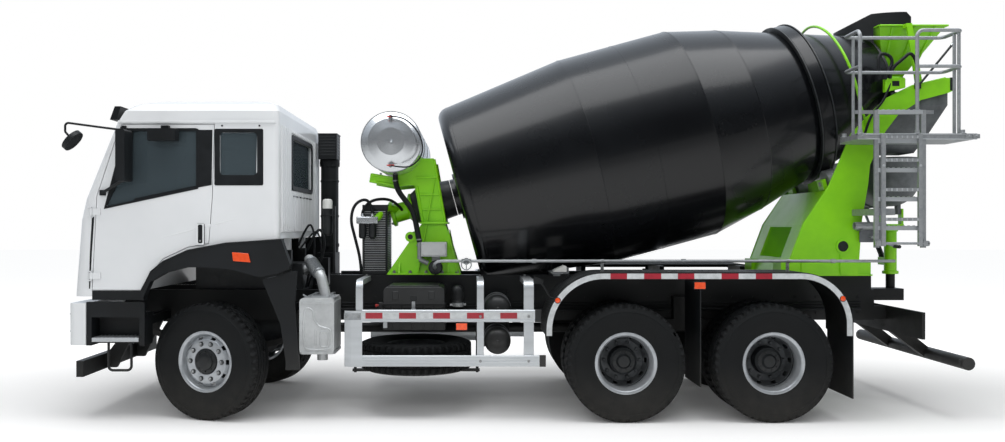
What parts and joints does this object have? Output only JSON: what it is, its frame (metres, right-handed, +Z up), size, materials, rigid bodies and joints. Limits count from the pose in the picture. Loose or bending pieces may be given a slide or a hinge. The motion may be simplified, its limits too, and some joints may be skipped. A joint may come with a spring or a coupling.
{
  "type": "concrete mixer truck",
  "caption": "Forward-control three-axle truck with a tilting cab, a turning tilted mixing drum, a feed hopper, a swivelling discharge chute and a folding ladder.",
  "frame": {"origin": "on the ground under the middle of the truck's length, on its centre plane", "axes": "+X forward, +Y to the truck's left, +Z up"},
  "size_m": [8.485, 2.84, 3.93],
  "materials": {
    "cab_paint": "gloss",
    "drum_paint": "gloss",
    "green_paint": "satin",
    "chassis_paint": "satin",
    "dark_plastic": "grained",
    "window_glass": "polished",
    "tyre_rubber": "moulded",
    "black_rubber": "matt",
    "rim_paint": "satin",
    "tread_alloy": "brushed",
    "galvanised": "galvanised",
    "grey_paint": "satin",
    "seat_fabric": "woven",
    "cast_housing": "painted"
  },
  "bodies": {
    "chassis": {"chassis_frame": "chassis_paint", "mixer_subframe": "chassis_paint", "engine_block": "cast_housing", "front_bumper": "cab_paint", "front_steelwork": "dark_plastic", "axles": "chassis_paint", "leaf_springs": "chassis_paint", "fuel_tank": "tread_alloy", "silencer": "galvanised", "air_intake": "dark_plastic", "equipment_boxes": "chassis_paint", "side_guards": "tread_alloy", "spare_wheel": "tyre_rubber", "rear_mudguards": "chassis_paint", "splash_guards": "dark_plastic", "rear_underrun": "chassis_paint", "drum_gearbox": "cast_housing", "front_pedestal": "green_paint", "water_tank": "tread_alloy", "oil_cooler": "dark_plastic", "water_lines": "black_rubber", "rear_pedestal": "green_paint", "feed_hopper": "green_paint", "hopper_liner": "black_rubber", "discharge_hopper": "grey_paint", "platform": "galvanised"},
    "cab": {"cab_shell": "cab_paint", "cab_roof": "cab_paint", "cab_trim": "dark_plastic", "cab_glass": "window_glass", "dashboard": "dark_plastic", "seats": "seat_fabric"},
    "left_door": {"door_left": "cab_paint", "door_glass_left": "window_glass", "mirrors_left": "dark_plastic"},
    "right_door": {"door_right": "cab_paint", "door_glass_right": "window_glass", "mirrors_right": "dark_plastic"},
    "left_knuckle": {"knuckle_left": "chassis_paint"},
    "right_knuckle": {"knuckle_right": "chassis_paint"},
    "front_left_wheel": {"tyre_front_left": "tyre_rubber", "rim_front_left": "rim_paint"},
    "front_right_wheel": {"tyre_front_right": "tyre_rubber", "rim_front_right": "rim_paint"},
    "rear_1_left_wheels": {"tyres_rear_1_left": "tyre_rubber", "rims_rear_1_left": "rim_paint"},
    "rear_1_right_wheels": {"tyres_rear_1_right": "tyre_rubber", "rims_rear_1_right": "rim_paint"},
    "rear_2_left_wheels": {"tyres_rear_2_left": "tyre_rubber", "rims_rear_2_left": "rim_paint"},
    "rear_2_right_wheels": {"tyres_rear_2_right": "tyre_rubber", "rims_rear_2_right": "rim_paint"},
    "drum": {"drum_shell": "drum_paint"},
    "left_roller": {"drum_roller_left": "galvanised"},
    "right_roller": {"drum_roller_right": "galvanised"},
    "lower_ladder": {"ladder_lower": "galvanised"},
    "swivel_arm": {"chute_arm": "green_paint"},
    "chute": {"chute": "grey_paint"},
    "jack_cylinder": {"jack_tube": "chassis_paint"},
    "jack_piston": {"jack_rod": "galvanised"}
  },
  "joints": [
    {"name": "cab_tilt", "type": "hinge", "parent": "chassis", "child": "cab", "pos_m": [4.0895, 0, 0.99], "axis": [0, 1, 0], "range_deg": [0, 50]},
    {"name": "left_door_hinge", "type": "hinge", "parent": "cab", "child": "left_door", "pos_m": [3.9905, 1.166, 1.34], "axis": [0, 0, -1], "range_deg": [0, 70]},
    {"name": "right_door_hinge", "type": "hinge", "parent": "cab", "child": "right_door", "pos_m": [3.9905, -1.166, 1.34], "axis": [0, 0, 1], "range_deg": [0, 70]},
    {"name": "left_steer", "type": "hinge", "parent": "chassis", "child": "left_knuckle", "pos_m": [2.8825, 0.86, 0.5425], "axis": [0, 0, 1], "range_deg": [-18, 54]},
    {"name": "right_steer", "type": "hinge", "parent": "chassis", "child": "right_knuckle", "pos_m": [2.8825, -0.86, 0.5425], "axis": [0, 0, 1], "range_deg": [-18, 54]},
    {"name": "front_left_spin", "type": "hinge", "parent": "left_knuckle", "child": "front_left_wheel", "pos_m": [2.92885, 1.00266, 0.5425], "axis": [0.309, 0.9511, 0], "continuous": true},
    {"name": "front_right_spin", "type": "hinge", "parent": "right_knuckle", "child": "front_right_wheel", "pos_m": [2.83615, -1.00266, 0.5425], "axis": [0.309, 0.9511, 0], "continuous": true},
    {"name": "rear_1_left_spin", "type": "hinge", "parent": "chassis", "child": "rear_1_left_wheels", "pos_m": [-0.9175, 0.93, 0.5425], "axis": [0, 1, 0], "continuous": true},
    {"name": "rear_1_right_spin", "type": "hinge", "parent": "chassis", "child": "rear_1_right_wheels", "pos_m": [-0.9175, -0.93, 0.5425], "axis": [0, 1, 0], "continuous": true},
    {"name": "rear_2_left_spin", "type": "hinge", "parent": "chassis", "child": "rear_2_left_wheels", "pos_m": [-2.2675, 0.93, 0.5425], "axis": [0, 1, 0], "continuous": true},
    {"name": "rear_2_right_spin", "type": "hinge", "parent": "chassis", "child": "rear_2_right_wheels", "pos_m": [-2.2675, -0.93, 0.5425], "axis": [0, 1, 0], "continuous": true},
    {"name": "drum_spin", "type": "hinge", "parent": "chassis", "child": "drum", "pos_m": [0.6185, 0, 2.113], "axis": [-0.9648, 0, 0.263], "continuous": true},
    {"name": "left_roller_spin", "type": "hinge", "parent": "chassis", "child": "left_roller", "pos_m": [-3.09116, 0.4337, 2.24213], "axis": [-0.9648, 0, 0.263], "continuous": true},
    {"name": "right_roller_spin", "type": "hinge", "parent": "chassis", "child": "right_roller", "pos_m": [-3.09116, -0.4337, 2.24213], "axis": [-0.9648, 0, 0.263], "continuous": true},
    {"name": "ladder_fold", "type": "hinge", "parent": "chassis", "child": "lower_ladder", "pos_m": [-3.4285, 1.225, 1.64], "axis": [-1, 0, 0], "range_deg": [0, 178]},
    {"name": "chute_swing", "type": "hinge", "parent": "chassis", "child": "swivel_arm", "pos_m": [-3.8925, 0, 1.5], "axis": [0, 0, 1], "range_deg": [-160, 0]},
    {"name": "chute_tilt", "type": "hinge", "parent": "swivel_arm", "child": "chute", "pos_m": [-3.8925, 0, 1.945], "axis": [1, 0, 0], "range_deg": [0, 25]},
    {"name": "jack_pivot", "type": "hinge", "parent": "swivel_arm", "child": "jack_cylinder", "pos_m": [-3.8925, -0.15, 1.43], "axis": [1, 0, 0], "range_deg": [0, 16]},
    {"name": "jack_extend", "type": "slide", "parent": "jack_cylinder", "child": "jack_piston", "axis": [0, -0.6635, 0.7482], "range_m": [-0.213, 0]}
  ],
  "couplings": [
    {"joint": "right_steer", "follows": "left_steer", "ratio": 1},
    {"joint": "left_roller_spin", "follows": "drum_spin", "ratio": -6.64},
    {"joint": "right_roller_spin", "follows": "drum_spin", "ratio": -6.64},
    {"joint": "jack_pivot", "follows": "chute_tilt", "ratio": 0.6364},
    {"joint": "jack_extend", "follows": "chute_tilt", "m_per_rad": -0.4868}
  ]
}
